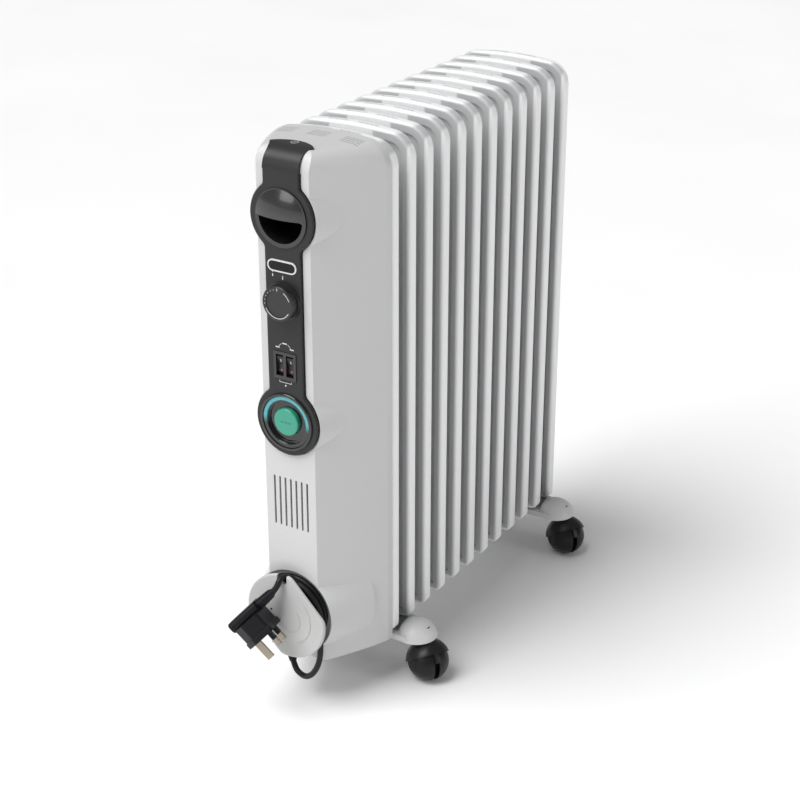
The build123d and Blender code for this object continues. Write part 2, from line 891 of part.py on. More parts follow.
def u_bolt(end):
    """Goes over the lower hub between two fins and down through the channel."""
    y = foot_y(end)
    z = fin_clearance + hub_low
    low = fin_clearance - 20
    legs = [
        Line((-bolt_reach, y, low), (-bolt_reach, y, z)),
        ThreePointArc((-bolt_reach, y, z), (0, y, z + bolt_reach), (bolt_reach, y, z)),
        Line((bolt_reach, y, z), (bolt_reach, y, low)),
    ]
    return sweep(Plane((-bolt_reach, y, low), z_dir=(0, 0, 1)) * Circle(bolt_diameter / 2), path=Wire(legs))


def wing_nut(x, y):
    top = fin_clearance - bar_thickness
    hub = Pos(x, y, top - 4) * Cylinder(6, 8)
    wing = box((x - 11, y - 1.3, top - 15), (x + 11, y + 1.3, top - 3))
    wing -= Pos(x, y, top - 18) * Rot(90, 0, 0) * Cylinder(7.5, 10)
    body = hub + wing
    return body - Pos(x, y, top - 10) * Cylinder(bolt_diameter / 2, 40)


def foot_shell(side, end):
    """The domed plastic foot that slips over the channel's end and carries a caster."""
    y = foot_y(end)
    sphere = (foot_radius**2 + foot_crown**2) / (2 * foot_crown)
    dome = Pos(0, 0, foot_crown - sphere) * Sphere(sphere)
    dome &= box((-foot_radius - 5, -foot_radius - 5, 0), (foot_radius + 5, foot_radius + 5, foot_crown + 5))
    dome = Pos(foot_offset, y, foot_low) * dome
    arm = box(
        (foot_offset - 46, y - foot_width / 2, foot_low),
        (foot_offset, y + foot_width / 2, fin_clearance - 2.2),
    )
    arm = fillet(arm.edges().filter_by(Axis.Z).sort_by(Axis.X)[:2], 8)
    body = dome + arm
    under_fins = box((0, y - 60, fin_clearance - 2.2), (half_width + 1.5, y + 60, fin_clearance + 60))
    body -= under_fins
    slot = box(
        (0, y - bar_width / 2 - 0.2, fin_clearance - bar_depth),
        (foot_offset - 6 + 0.2, y + bar_width / 2 + 0.2, fin_clearance),
    )
    body -= slot
    bore = Pos(stem_offset, y, foot_low) * Cylinder(stem_diameter / 2 + running_gap, 2 * stem_length + 1)
    body -= bore
    return body if side > 0 else mirror(body, Plane.YZ)


# ---- casters ----
def caster_place(side, end):
    """Moves a caster from its own frame, with the stem on Z and trailing along +X, to its foot."""
    turn = -caster_turn if side > 0 else 180 + caster_turn
    return Pos(side * stem_offset, foot_y(end), 0) * Rot(0, 0, turn)


def caster_hood(side, end):
    """The swivel body: stem, neck, fender over the ball and the web between its two wheels."""
    middle = Vector(caster_trail, 0, ball_radius)
    outer = ball_radius + ball_gap + hood_thickness
    inner = ball_radius + ball_gap
    ball = Pos(*middle) * Sphere(outer)
    hollow = Pos(*middle) * Sphere(inner)
    fender_zone = Pos(*middle) * Rot(0, -35, 0) * box((-40, -40, 4), (40, 40, 40))
    fender = (ball - hollow) & fender_zone
    web = ball & box((-60, -hood_web / 2, 0), (60, hood_web / 2, 80))
    web &= Pos(*middle) * Rot(0, -35, 0) * box((-40, -40, -7), (40, 40, 40))
    neck_top = foot_low - hood_clearance
    neck = Pos(0, 0, neck_top / 2 + 15) * Cylinder(stem_diameter / 2 + 2, neck_top - 30)
    neck -= hollow
    reach = stem_length + 1.5
    stem = Pos(0, 0, neck_top - 2 + reach / 2) * Cylinder(stem_diameter / 2, reach)
    body = fender + web + neck + stem
    bore = Pos(*middle) * Rot(90, 0, 0) * Cylinder(axle_radius + running_gap, 40)
    body -= bore & box((-60, -hood_web / 2 - 0.1, 0), (60, hood_web / 2 + 0.1, 80))
    return caster_place(side, end) * body


def wheel_pair(side, end):
    """Two half-ball wheels on one axle."""
    start = hood_web / 2 + 0.5
    flat = ball_radius * 0.93
    edge = math.sqrt(ball_radius**2 - start**2)
    cap = math.sqrt(ball_radius**2 - flat**2)
    middle = ball_radius * 0.6
    profile = make_face(
        Curve()
        + [
            Line((0, 0), (axle_radius, 0)),
            Line((axle_radius, 0), (axle_radius, start)),
            Line((axle_radius, start), (edge, start)),
            ThreePointArc((edge, start), (math.sqrt(ball_radius**2 - middle**2), middle), (cap, flat)),
            Line((cap, flat), (0, flat)),
            Line((0, flat), (0, 0)),
        ]
    )
    half = revolve(Plane.XY * profile, Axis.Y)
    pair = half + mirror(half, Plane.XZ)
    return caster_place(side, end) * Pos(caster_trail, 0, ball_radius) * pair


# ---- build and write ----
def write(name, shape):
    if isinstance(shape, list):
        shape = Compound(shape)
    export_step(shape, f"parts/{name}.step")


os.makedirs("parts", exist_ok=True)
housing_shell_outer = housing_body(0)
housing_shell_inner = housing_body(housing_wall)
panel_bed = housing_shell_outer - slab(panel_outline(0), housing_front + panel_seat, housing_front - 10)
panel_solid = raw_panel() - panel_bed

for index in range(fin_count):
    write(f"fin_{index + 1:02d}", fin(index))
write("oil_plug", oil_plug())
write("element_flange", element_flange())
write("heating_elements", heating_elements())
write("control_housing", control_housing())
write("heat_shield", heat_shield())
write("control_panel", control_panel())
write("handle_cup", handle_cup())
write("handle_cover", handle_cover())
write("badge", badge())
write("thermostat_body", thermostat_body())
write("thermostat_spindle", thermostat_spindle())
write("thermostat_knob", thermostat_knob())
write("switch_bezel", switch_bezel())
write("rocker_left", rocker(rocker_places()[0]))
write("rocker_right", rocker(rocker_places()[1]))
write("comfort_bezel", comfort_bezel())
write("light_ring", light_ring())
write("comfort_button", comfort_button())
write("comfort_switch", comfort_switch())
write("overheat_cutout", overheat_cutout())
write("terminal_block", terminal_block())
write("reel_base", reel_base())
write("reel_disc", reel_disc())
write("housing_screws", housing_screws())
write("cord_gland", cord_gland())
write("cord_coil", cord_coil())
write("cord_loop", tube(loop_route(), "cord_loop"))
write("cord_lead", tube(lead_route(), "cord_lead"))
write("plug_body", plug_body())
write("plug_pins", plug_pins())
write("u_bolts", [u_bolt(end) for end in (-1, 1)])
write("wing_nuts", [wing_nut(side * bolt_reach, foot_y(end)) for end in (-1, 1) for side in (-1, 1)])
for end, end_name in ((-1, "front"), (1, "rear")):
    write(f"foot_bar_{end_name}", foot_bar(end))
    for side, side_name in ((-1, "left"), (1, "right")):
        place = f"{end_name}_{side_name}"
        write(f"foot_shell_{place}", foot_shell(side, end))
        write(f"caster_hood_{place}", caster_hood(side, end))
        write(f"caster_wheels_{place}", wheel_pair(side, end))
print("overall length", total_length, "housing front", housing_front, "first fin", first_fin_y)
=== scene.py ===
# Oil filled radiator heater: materials, cord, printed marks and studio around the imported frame
import bpy
import bmesh
import math
from mathutils import Matrix, Vector


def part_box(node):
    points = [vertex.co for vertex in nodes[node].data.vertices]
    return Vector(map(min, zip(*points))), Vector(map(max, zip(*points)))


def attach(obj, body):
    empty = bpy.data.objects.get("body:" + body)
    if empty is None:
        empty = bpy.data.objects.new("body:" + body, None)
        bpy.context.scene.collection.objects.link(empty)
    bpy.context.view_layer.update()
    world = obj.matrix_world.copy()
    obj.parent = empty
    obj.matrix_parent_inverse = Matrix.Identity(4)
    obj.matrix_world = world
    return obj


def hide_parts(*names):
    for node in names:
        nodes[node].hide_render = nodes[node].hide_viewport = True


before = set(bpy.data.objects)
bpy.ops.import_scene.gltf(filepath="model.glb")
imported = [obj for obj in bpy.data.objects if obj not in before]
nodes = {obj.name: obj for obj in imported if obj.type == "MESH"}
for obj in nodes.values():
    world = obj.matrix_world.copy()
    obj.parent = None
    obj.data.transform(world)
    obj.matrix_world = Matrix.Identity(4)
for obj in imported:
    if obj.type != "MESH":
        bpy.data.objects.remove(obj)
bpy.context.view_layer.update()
scene = bpy.context.scene
print("frame loaded:", len(nodes), "nodes")

# place, aim and farthest view in metres, lens and sensor in millimetres
cameraSetup = {
    "place": (1.0125, -1.646, 1.1672),
    "aim": (0.008, -0.0246, 0.2915),
    "farthest": 50.0,
    "lens": 80.9,
    "sensor": 36.0,
}


def makeCamera(setup):
    data = bpy.data.cameras.new("studioCamera")
    data.lens = setup["lens"]
    data.sensor_width = setup["sensor"]
    data.clip_end = setup["farthest"]
    camera = bpy.data.objects.new("studioCamera", data)
    scene.collection.objects.link(camera)
    camera.location = setup["place"]
    way = Vector(setup["aim"]) - Vector(setup["place"])
    camera.rotation_euler = way.to_track_quat("-Z", "Y").to_euler()
    scene.camera = camera


makeCamera(cameraSetup)
print("camera made")


def newGroup(name, inputs, outputs):
    group = bpy.data.node_groups.new(name, "ShaderNodeTree")
    for label, kind, value in inputs:
        socket = group.interface.new_socket(label, in_out="INPUT", socket_type=kind)
        if value is not None:
            socket.default_value = value
    for label, kind in outputs:
        group.interface.new_socket(label, in_out="OUTPUT", socket_type=kind)
    start = group.nodes.new("NodeGroupInput")
    end = group.nodes.new("NodeGroupOutput")
    return group, start, end


def makeGrainGroup():
    # fine moulded or sprayed grain plus slow unevenness
    inputs = [
        ("Vector", "NodeSocketVector", None),
        ("Fine Scale", "NodeSocketFloat", 900.0),
        ("Slow Scale", "NodeSocketFloat", 14.0),
        ("Fine Share", "NodeSocketFloat", 0.6),
    ]
    outputs = [("Height", "NodeSocketFloat"), ("Tone", "NodeSocketFloat")]
    group, start, end = newGroup("surfaceGrain", inputs, outputs)
    make, link = group.nodes.new, group.links.new
    fine = make("ShaderNodeTexNoise")
    fine.inputs["Detail"].default_value = 3.0
    slow = make("ShaderNodeTexNoise")
    slow.inputs["Detail"].default_value = 4.0
    blend = make("ShaderNodeMix")
    link(start.outputs["Vector"], fine.inputs["Vector"])
    link(start.outputs["Vector"], slow.inputs["Vector"])
    link(start.outputs["Fine Scale"], fine.inputs["Scale"])
    link(start.outputs["Slow Scale"], slow.inputs["Scale"])
    link(start.outputs["Fine Share"], blend.inputs["Factor"])
    link(slow.outputs["Fac"], blend.inputs["A"])
    link(fine.outputs["Fac"], blend.inputs["B"])
    link(blend.outputs["Result"], end.inputs["Height"])
    link(slow.outputs["Fac"], end.inputs["Tone"])
    return group


def makeStreakGroup():
    # brushed streaks for zinc plate and brass
    inputs = [("Vector", "NodeSocketVector", None), ("Scale", "NodeSocketFloat", 60.0)]
    group, start, end = newGroup("brushStreaks", inputs, [("Height", "NodeSocketFloat")])
    make, link = group.nodes.new, group.links.new
    stretch = make("ShaderNodeMapping")
    stretch.inputs["Scale"].default_value = (1.0, 12.0, 12.0)
    noise = make("ShaderNodeTexNoise")
    noise.inputs["Detail"].default_value = 5.0
    link(start.outputs["Vector"], stretch.inputs["Vector"])
    link(stretch.outputs["Vector"], noise.inputs["Vector"])
    link(start.outputs["Scale"], noise.inputs["Scale"])
    link(noise.outputs["Fac"], end.inputs["Height"])
    return group


grainGroup = makeGrainGroup()
streakGroup = makeStreakGroup()

coatRoughness = 0.08
toneRange = (0.35, 0.65)  # the part of the noise that the roughness follows

# colour, roughness range, grain and bump of every finish
finishes = {
    "finPaint": {
        "color": (0.90, 0.905, 0.91), "shade": 0.97, "rough": (0.30, 0.40),
        "fine": 650, "slow": 9, "share": 0.75, "bump": 0.10, "depth": 0.0003, "coat": 0.15,
    },
    "casingWhite": {
        "color": (0.60, 0.60, 0.604), "shade": 0.97, "rough": (0.34, 0.42),
        "fine": 2200, "slow": 7, "share": 0.8, "bump": 0.10, "depth": 0.00012, "coat": 0.0,
    },
    "discWhite": {
        "color": (0.51, 0.51, 0.507), "shade": 0.96, "rough": (0.40, 0.50),
        "fine": 1800, "slow": 20, "share": 0.8, "bump": 0.15, "depth": 0.00015, "coat": 0.0,
    },
    "footWhite": {
        "color": (0.63, 0.63, 0.63), "shade": 0.95, "rough": (0.36, 0.48),
        "fine": 1700, "slow": 25, "share": 0.8, "bump": 0.14, "depth": 0.00015, "coat": 0.0,
    },
    "panelGrey": {
        "color": (0.027, 0.027, 0.028), "shade": 0.90, "rough": (0.30, 0.40),
        "fine": 2600, "slow": 12, "share": 0.8, "bump": 0.12, "depth": 0.00012, "coat": 0.0, "specular": 0.28,
    },
    "glossBlack": {
        "color": (0.012, 0.012, 0.013), "shade": 0.85, "rough": (0.07, 0.13),
        "fine": 500, "slow": 15, "share": 0.3, "bump": 0.02, "depth": 0.0002, "coat": 0.5,
    },
    "coverBlack": {
        "color": (0.020, 0.020, 0.022), "shade": 0.85, "rough": (0.16, 0.24),
        "fine": 700, "slow": 15, "share": 0.4, "bump": 0.03, "depth": 0.0002, "coat": 0.6,
    },
    "knobBlack": {
        "color": (0.020, 0.020, 0.021), "shade": 0.85, "rough": (0.32, 0.42),
        "fine": 2400, "slow": 30, "share": 0.8, "bump": 0.15, "depth": 0.00012, "coat": 0.0,
    },
    "buttonGreen": {
        "color": (0.034, 0.34, 0.225), "shade": 0.88, "rough": (0.28, 0.38),
        "fine": 1900, "slow": 60, "share": 0.7, "bump": 0.08, "depth": 0.0001, "coat": 0.3,
    },
    "zincSteel": {
        "color": (0.52, 0.53, 0.55), "shade": 0.85, "rough": (0.25, 0.40),
        "fine": 90, "slow": 30, "share": 0.5, "bump": 0.10, "depth": 0.0002, "coat": 0.0,
        "metal": 1.0, "streaks": True,
    },
    "pinBrass": {
        "color": (0.58, 0.50, 0.40), "shade": 0.88, "rough": (0.22, 0.34),
        "fine": 300, "slow": 80, "share": 0.5, "bump": 0.06, "depth": 0.0001, "coat": 0.0,
        "metal": 1.0, "streaks": True,
    },
    "naturalPlastic": {
        "color": (0.62, 0.58, 0.48), "shade": 0.92, "rough": (0.40, 0.55),
        "fine": 1200, "slow": 40, "share": 0.7, "bump": 0.1, "depth": 0.0002, "coat": 0.0,
    },
    "casterBlack": {
        "color": (0.008, 0.008, 0.008), "shade": 0.80, "rough": (0.26, 0.42),
        "fine": 1100, "slow": 45, "share": 0.6, "bump": 0.12, "depth": 0.0002, "coat": 0.0, "specular": 0.28,
    },
    "hoodBlack": {
        "color": (0.012, 0.012, 0.012), "shade": 0.85, "rough": (0.30, 0.44),
        "fine": 1500, "slow": 50, "share": 0.7, "bump": 0.14, "depth": 0.0002, "coat": 0.0, "specular": 0.28,
    },
    "cordBlack": {
        "color": (0.006, 0.006, 0.007), "shade": 0.80, "rough": (0.38, 0.50),
        "fine": 1500, "slow": 90, "share": 0.7, "bump": 0.12, "depth": 0.0002, "coat": 0.0, "specular": 0.28,
    },
    "plugBlack": {
        "color": (0.006, 0.006, 0.009), "shade": 0.80, "rough": (0.30, 0.42),
        "fine": 1600, "slow": 60, "share": 0.7, "bump": 0.14, "depth": 0.0002, "coat": 0.0, "specular": 0.28,
    },
    "printWhite": {
        "color": (0.72, 0.72, 0.71), "shade": 0.90, "rough": (0.45, 0.60),
        "fine": 3000, "slow": 200, "share": 0.8, "bump": 0.05, "depth": 0.00005, "coat": 0.0,
    },
    "printRed": {
        "color": (0.62, 0.10, 0.08), "shade": 0.85, "rough": (0.40, 0.55),
        "fine": 3000, "slow": 200, "share": 0.8, "bump": 0.05, "depth": 0.00005, "coat": 0.0,
    },
    "printGreen": {
        "color": (0.015, 0.20, 0.13), "shade": 0.85, "rough": (0.40, 0.55),
        "fine": 3000, "slow": 200, "share": 0.8, "bump": 0.05, "depth": 0.00005, "coat": 0.0,
    },
    "floorPale": {
        "color": (0.93, 0.93, 0.93), "shade": 0.985, "rough": (0.65, 0.80),
        "fine": 300, "slow": 2, "share": 0.7, "bump": 0.02, "depth": 0.0005, "coat": 0.0,
    },
}


def makeFinish(name, values):
    material = bpy.data.materials.new(name)
    material.use_nodes = True
    tree = material.node_tree
    make, link = tree.nodes.new, tree.links.new
    shader = tree.nodes["Principled BSDF"]
    place = make("ShaderNodeTexCoord")
    grain = make("ShaderNodeGroup")
    grain.node_tree = grainGroup
    grain.inputs["Fine Scale"].default_value = values["fine"]
    grain.inputs["Slow Scale"].default_value = values["slow"]
    grain.inputs["Fine Share"].default_value = values["share"]
    link(place.outputs["Object"], grain.inputs["Vector"])
    tone = make("ShaderNodeMix")
    tone.data_type = "RGBA"
    full = values["color"]
    tone.inputs["A"].default_value = (*[c * values["shade"] for c in full], 1.0)
    tone.inputs["B"].default_value = (*full, 1.0)
    link(grain.outputs["Tone"], tone.inputs["Factor"])
    link(tone.outputs["Result"], shader.inputs["Base Color"])
    rough = make("ShaderNodeMapRange")
    rough.inputs["From Min"].default_value = toneRange[0]
    rough.inputs["From Max"].default_value = toneRange[1]
    rough.inputs["To Min"].default_value = values["rough"][0]
    rough.inputs["To Max"].default_value = values["rough"][1]
    link(grain.outputs["Tone"], rough.inputs["Value"])
    link(rough.outputs["Result"], shader.inputs["Roughness"])
    bump = make("ShaderNodeBump")
    bump.inputs["Strength"].default_value = values["bump"]
    bump.inputs["Distance"].default_value = values["depth"]
    height = grain.outputs["Height"]
    if values.get("streaks"):
        streaks = make("ShaderNodeGroup")
        streaks.node_tree = streakGroup
        link(place.outputs["Object"], streaks.inputs["Vector"])
        height = streaks.outputs["Height"]
    link(height, bump.inputs["Height"])
    link(bump.outputs["Normal"], shader.inputs["Normal"])
    shader.inputs["Metallic"].default_value = values.get("metal", 0.0)
    shader.inputs["Specular IOR Level"].default_value = values.get("specular", 0.5)
    shader.inputs["Coat Weight"].default_value = values["coat"]
    shader.inputs["Coat Roughness"].default_value = coatRoughness
    return material


materials = {name: makeFinish(name, values) for name, values in finishes.items()}


# teal arc over the upper part of the ring, dark gloss below it
ringFinish = {
    "arcStart": -0.25,  # share of the radius, from the centre up
    "arcFull": 0.15,
    "grain": 120.0,
    "teal": ((0.055, 0.33, 0.37), (0.09, 0.42, 0.45)),
    "dark": (0.014, 0.016, 0.017),
    "rough": (0.14, 0.26),
    "coat": 0.4,
    "coatRough": 0.06,
}


def makeLightMaterial(name, values):
    low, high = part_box("light_ring")
    centre = (low.z + high.z) / 2
    radius = (high.z - low.z) / 2
    material = bpy.data.materials.new(name)
    material.use_nodes = True
    tree = material.node_tree
    make, link = tree.nodes.new, tree.links.new
    shader = tree.nodes["Principled BSDF"]
    place = make("ShaderNodeTexCoord")
    split = make("ShaderNodeSeparateXYZ")
    link(place.outputs["Object"], split.inputs["Vector"])
    mask = make("ShaderNodeMapRange")
    mask.interpolation_type = "SMOOTHSTEP"
    mask.inputs["From Min"].default_value = centre + values["arcStart"] * radius
    mask.inputs["From Max"].default_value = centre + values["arcFull"] * radius
    link(split.outputs["Z"], mask.inputs["Value"])
    noise = make("ShaderNodeTexNoise")
    noise.inputs["Scale"].default_value = values["grain"]
    link(place.outputs["Object"], noise.inputs["Vector"])
    teal = make("ShaderNodeMix")
    teal.data_type = "RGBA"
    teal.inputs["A"].default_value = (*values["teal"][0], 1.0)
    teal.inputs["B"].default_value = (*values["teal"][1], 1.0)
    link(noise.outputs["Fac"], teal.inputs["Factor"])
    colour = make("ShaderNodeMix")
    colour.data_type = "RGBA"
    colour.inputs["A"].default_value = (*values["dark"], 1.0)
    link(mask.outputs["Result"], colour.inputs["Factor"])
    link(teal.outputs["Result"], colour.inputs["B"])
    link(colour.outputs["Result"], shader.inputs["Base Color"])
    rough = make("ShaderNodeMapRange")
    rough.inputs["To Min"].default_value = values["rough"][0]
    rough.inputs["To Max"].default_value = values["rough"][1]
    link(noise.outputs["Fac"], rough.inputs["Value"])
    link(rough.outputs["Result"], shader.inputs["Roughness"])
    shader.inputs["Coat Weight"].default_value = values["coat"]
    shader.inputs["Coat Roughness"].default_value = values["coatRough"]
    return material


# painted shade: the webs between the fins get a darker colour for the shade that falls between the fins;
# rims, hubs and the outer face at the back keep the plain paint colour
finSetup = {
    "webShadeColor": (0.54, 0.545, 0.55),
    "rimWidth": 0.0045,
    "rimBlend": 0.0015,
    "hubReach": 0.0255,
    "hubBlend": 0.004,
    "backDepth": 0.0075,  # from the last fin's rear edge to just past the middle of its web
}


def makeFinMaterial(name, base, values):
    material = base.copy()
    material.name = name
    tree = material.node_tree
    make, link = tree.nodes.new, tree.links.new
    low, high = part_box("fin_06")
    place = make("ShaderNodeTexCoord")
    centred = make("ShaderNodeMapping")
    centred.inputs["Location"].default_value = (0.0, 0.0, -(low.z + high.z) / 2)
    link(place.outputs["Object"], centred.inputs["Vector"])
    split = make("ShaderNodeSeparateXYZ")
    link(centred.outputs["Vector"], split.inputs["Vector"])
    masks = []
    for axis, half in (("X", (high.x - low.x) / 2), ("Z", (high.z - low.z) / 2)):
        size = make("ShaderNodeMath")
        size.operation = "ABSOLUTE"
        link(split.outputs[axis], size.inputs[0])
        mask = make("ShaderNodeMapRange")
        mask.interpolation_type = "SMOOTHSTEP"
        mask.inputs["From Min"].default_value = half - values["rimWidth"] - values["rimBlend"]
        mask.inputs["From Max"].default_value = half - values["rimWidth"] + values["rimBlend"]
        link(size.outputs["Value"], mask.inputs["Value"])
        masks.append(mask)
    hub = make("ShaderNodeMapRange")
    hub.interpolation_type = "SMOOTHSTEP"
    hub.inputs["From Min"].default_value = values["hubReach"] + values["hubBlend"]
    hub.inputs["From Max"].default_value = values["hubReach"]
    link(masks[0].inputs["Value"].links[0].from_socket, hub.inputs["Value"])
    masks.append(hub)
    back = make("ShaderNodeMath")
    back.operation = "GREATER_THAN"
    back.inputs[1].default_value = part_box("fin_12")[1].y - values["backDepth"]
    link(split.outputs["Y"], back.inputs[0])
    joined = back.outputs["Value"]
    for mask in masks:
        outer = make("ShaderNodeMath")
        outer.operation = "MAXIMUM"
        link(joined, outer.inputs[0])
        link(mask.outputs["Result"], outer.inputs[1])
        joined = outer.outputs["Value"]
    shader = tree.nodes["Principled BSDF"]
    rim = shader.inputs["Base Color"].links[0].from_socket
    # painted shade: the masked webs take the darker shade colour, the rims, hubs and back face keep the paint
    # colour
    mix = make("ShaderNodeMix")
    mix.data_type = "RGBA"
    mix.inputs["A"].default_value = (*values["webShadeColor"], 1.0)
    link(joined, mix.inputs["Factor"])
    link(rim, mix.inputs["B"])
    link(mix.outputs["Result"], shader.inputs["Base Color"])
    return material


materials["finSteel"] = makeFinMaterial("finSteel", materials["finPaint"], finSetup)
materials["lightRing"] = makeLightMaterial("lightRing", ringFinish)

# finish of every carried-over node, by the start of its name
nodeFinishes = {
    "fin_": "finSteel", "oil_plug": "zincSteel", "element_flange": "zincSteel",
    "heating_elements": "zincSteel",
    "control_housing": "casingWhite", "heat_shield": "zincSteel", "control_panel": "panelGrey",
    "handle_cup": "glossBlack", "handle_cover": "coverBlack", "badge": "printWhite",
    "thermostat_body": "naturalPlastic", "thermostat_spindle": "zincSteel", "thermostat_knob": "knobBlack",
    "switch_bezel": "glossBlack", "rocker_": "knobBlack", "comfort_bezel": "glossBlack",
    "light_ring": "lightRing", "comfort_button": "buttonGreen", "comfort_switch": "naturalPlastic",
    "overheat_cutout": "naturalPlastic", "terminal_block": "naturalPlastic", "reel_base": "discWhite",
    "reel_disc": "discWhite", "housing_screws": "zincSteel", "cord_gland": "cordBlack", "cord_": "cordBlack",
    "plug_body": "plugBlack", "plug_pins": "pinBrass", "u_bolts": "zincSteel", "wing_nuts": "zincSteel",
    "foot_bar": "zincSteel", "foot_shell": "footWhite", "caster_hood": "hoodBlack",
    "caster_wheels": "casterBlack",
}
for nodeName, node in nodes.items():
    finish = next(value for start, value in nodeFinishes.items() if nodeName.startswith(start))
    node.data.materials.clear()
    node.data.materials.append(materials[finish])
print("materials made:", len(materials))


def finishMesh(bm, name, material, body):
    bmesh.ops.remove_doubles(bm, verts=bm.verts, dist=1e-7)
    bmesh.ops.recalc_face_normals(bm, faces=bm.faces)
    mesh = bpy.data.meshes.new(name)
    bm.to_mesh(mesh)
    bm.free()
    mesh.materials.append(materials[material])
    piece = bpy.data.objects.new(name, mesh)
    scene.collection.objects.link(piece)
    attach(piece, body)
    return piece


def middle(node):
    low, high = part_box(node)
    return (low + high) / 2


shieldDepth = 0.0865  # from the housing's front back to the heat shield
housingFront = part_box("heat_shield")[0].y - shieldDepth
reelCentre = middle("reel_disc")

# places are X, depth behind the housing's front, and Z
cordSetup = {
    "diameter": 0.0068,
    "length": 1.50,
    "exit": (-0.0190, 0.0140, 0.0560),
    "lean": (0.42, -0.20, -0.885),
    "reliefReach": 0.020,
    "reliefRun": 0.008,
    "loop": [
        (-0.0005, 0.0055, 0.0280),
        (0.0105, 0.0025, 0.0270),
        (0.0215, 0.0, 0.0345),
        (0.0300, -0.0015, 0.0475),
        (0.0355, -0.0030, 0.0630),
        (0.0375, -0.0040, 0.0800),
        (0.0365, -0.0045, 0.0960),
    ],
    "lead": [(0.0080, -0.0055, 0.1560), (-0.0020, -0.0095, 0.1620), (-0.0040, -0.0200, 0.1625)],
    "plugWay": (0.561, 0.453, 0.693),
    "plugEnd": (-0.0080, -0.0290, 0.1490),
    "plugRun": 0.006,
    "turnRadii": [0.0420, 0.0354, 0.0286, 0.0286, 0.0354, 0.0420],
    "turnRows": [0.0016, 0.0016, 0.0016, -0.0058, -0.0058, -0.0066],
    "startAngle": -26.0,
    "turnAngle": 2247.0,
    "pointsPerTurn": 14,
    "layerChange": 0.2,  # share of a turn in which it crosses to the next turn's radius and row
}


def onHousing(point):
    return Vector((point[0], housingFront + point[1], point[2]))


def coilPoints(setup):
    points = []
    steps = round(setup["turnAngle"] / 360 * setup["pointsPerTurn"])
    for step in range(1, steps):
        turned = step / steps * setup["turnAngle"] / 360
        whole = min(int(turned), len(setup["turnRadii"]) - 1)
        after = min(whole + 1, len(setup["turnRadii"]) - 1)
        share = max(0.0, min(1.0, (turned - whole - 1 + setup["layerChange"]) / setup["layerChange"]))
        radius = setup["turnRadii"][whole] * (1 - share) + setup["turnRadii"][after] * share
        row = setup["turnRows"][whole] * (1 - share) + setup["turnRows"][after] * share
        angle = math.radians(setup["startAngle"] + 360 * turned)
        points.append(onHousing((radius * math.cos(angle), row, reelCentre.z + radius * math.sin(angle))))
    return points


# dark sleeves at the roots of the plug's two live pins
sleeveSetup = {
    "pinLean": (0.7405, 0.0999, -0.6645),
    "plugReach": 0.0415,  # from the end of the strain relief to the plug's middle
    "pinFace": 0.030,
    "pinSpread": 0.0111,
    "pinHeight": 0.011,
    "length": 0.0092,
    "sunk": 0.0005,
    "section": (0.0069, 0.0045),
    "edge": 0.0005,
}


def makePinSleeves(setup, cord):
    plugWay = Vector(cord["plugWay"]).normalized()
    pinLean = Vector(setup["pinLean"])
    pinWay = (pinLean - plugWay * pinLean.dot(plugWay)).normalized()
    across = plugWay.cross(pinWay)
    root = onHousing(cord["plugEnd"]) - plugWay * setup["plugReach"] + pinWay * setup["pinFace"]
    frameMatrix = Matrix((pinWay, across, plugWay)).transposed().to_4x4()
    frameMatrix.translation = root
    bm = bmesh.new()
    for side in (-1, 1):
        centre = (setup["length"] / 2 - setup["sunk"], side * setup["pinSpread"], setup["pinHeight"])
        size = (setup["length"] + 2 * setup["sunk"], *setup["section"])
        spot = frameMatrix @ Matrix.Translation(centre) @ Matrix.Diagonal((*size, 1.0))
        bmesh.ops.create_cube(bm, size=1.0, matrix=spot)
    bmesh.ops.bevel(
        bm, geom=bm.edges[:], offset=setup["edge"], affect="EDGES", segments=2, profile=0.5, material=-1
    )
    return finishMesh(bm, "pinSleeves", "plugBlack", "heater")


def makeCord(setup, sleeves):
    lean = Vector(setup["lean"]).normalized()
    start = onHousing(setup["exit"]) + lean * setup["reliefReach"]
    plugWay = Vector(setup["plugWay"]).normalized()
    plugEnd = onHousing(setup["plugEnd"])
    points = [start, start + lean * setup["reliefRun"]]
    points += [onHousing(point) for point in setup["loop"]]
    points += coilPoints(setup)
    points += [onHousing(point) for point in setup["lead"]]
    points += [plugEnd + plugWay * setup["plugRun"], plugEnd]
    curve = bpy.data.curves.new("mainsCord", "CURVE")
    curve.dimensions = "3D"
    curve.bevel_depth = setup["diameter"] / 2
    curve.bevel_resolution = 6
    curve.use_fill_caps = True
    spline = curve.splines.new("NURBS")
    spline.points.add(len(points) - 1)
    for spot, point in zip(spline.points, points):
        spot.co = (*point, 1.0)
    spline.order_u = 3
    spline.use_endpoint_u = True
    spline.resolution_u = 6
    cord = bpy.data.objects.new("mainsCord", curve)
    scene.collection.objects.link(cord)
    curve.materials.append(materials["cordBlack"])
    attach(cord, "heater")
    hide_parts("cord_loop", "cord_coil", "cord_lead")


makeCord(cordSetup, makePinSleeves(sleeveSetup, cordSetup))
print("cord made")


def addBar(bm, centre, size, turn=0.0):
    # a thin bar facing forward, turned about the Y axis
    spot = Matrix.Translation(centre) @ Matrix.Rotation(turn, 4, "Y") @ Matrix.Diagonal((*size, 1.0))
    bmesh.ops.create_cube(bm, size=1.0, matrix=spot)


def addDot(bm, centre, radius, thickness):
    spot = Matrix.Translation(centre) @ Matrix.Rotation(math.pi / 2, 4, "X")
    bmesh.ops.create_cone(
        bm, cap_ends=True, segments=20, radius1=radius, radius2=radius, depth=thickness, matrix=spot
    )


